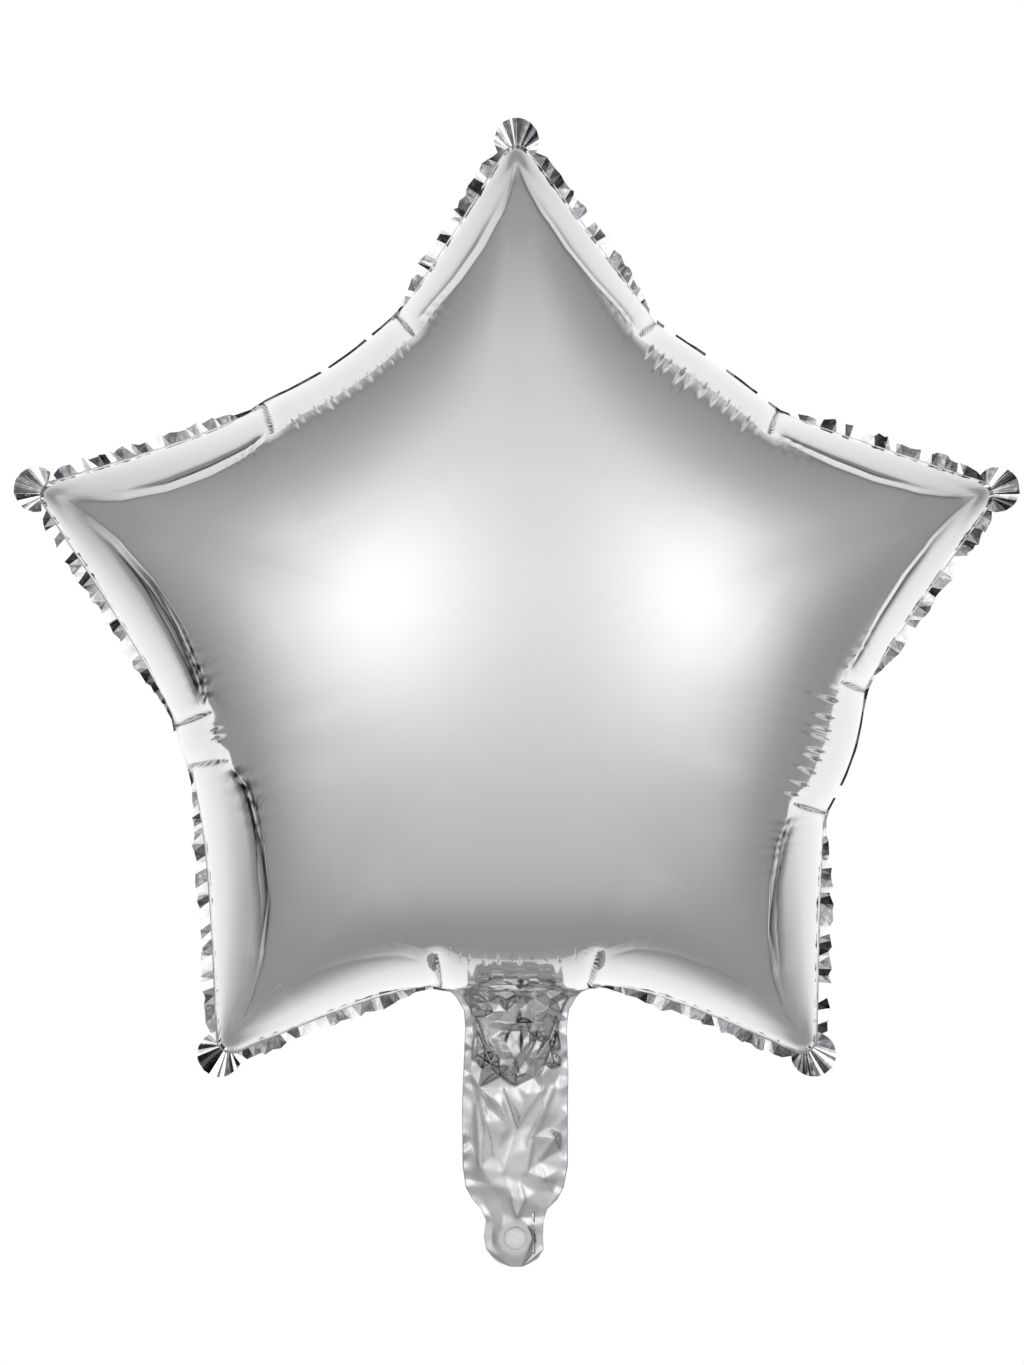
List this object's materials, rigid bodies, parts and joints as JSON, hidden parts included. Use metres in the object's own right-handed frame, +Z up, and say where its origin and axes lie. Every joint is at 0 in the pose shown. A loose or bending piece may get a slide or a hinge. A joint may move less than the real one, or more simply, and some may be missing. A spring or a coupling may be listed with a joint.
{
  "type": "star foil balloon",
  "caption": "Star-shaped foil balloon, inflated to a smooth silver dome on both sides, with pleated seams, a crinkled heat-sealed edge, round tip tabs and a tail with an inflation port.",
  "frame": {"origin": "middle of the neck just below the body, where a ribbon ties it", "axes": "+Z up along the star's upright arm, X across the width, Y through the thickness, with the sheet that has the inflation port towards -Y"},
  "size_m": [0.407, 0.17, 0.4648],
  "materials": {
    "silver_film": "smooth satin mirror, metallised film",
    "valve_film": "thin pale film"
  },
  "bodies": {
    "root": {"foil_envelope": "silver_film", "valve_strip": "valve_film"}
  },
  "joints": []
}
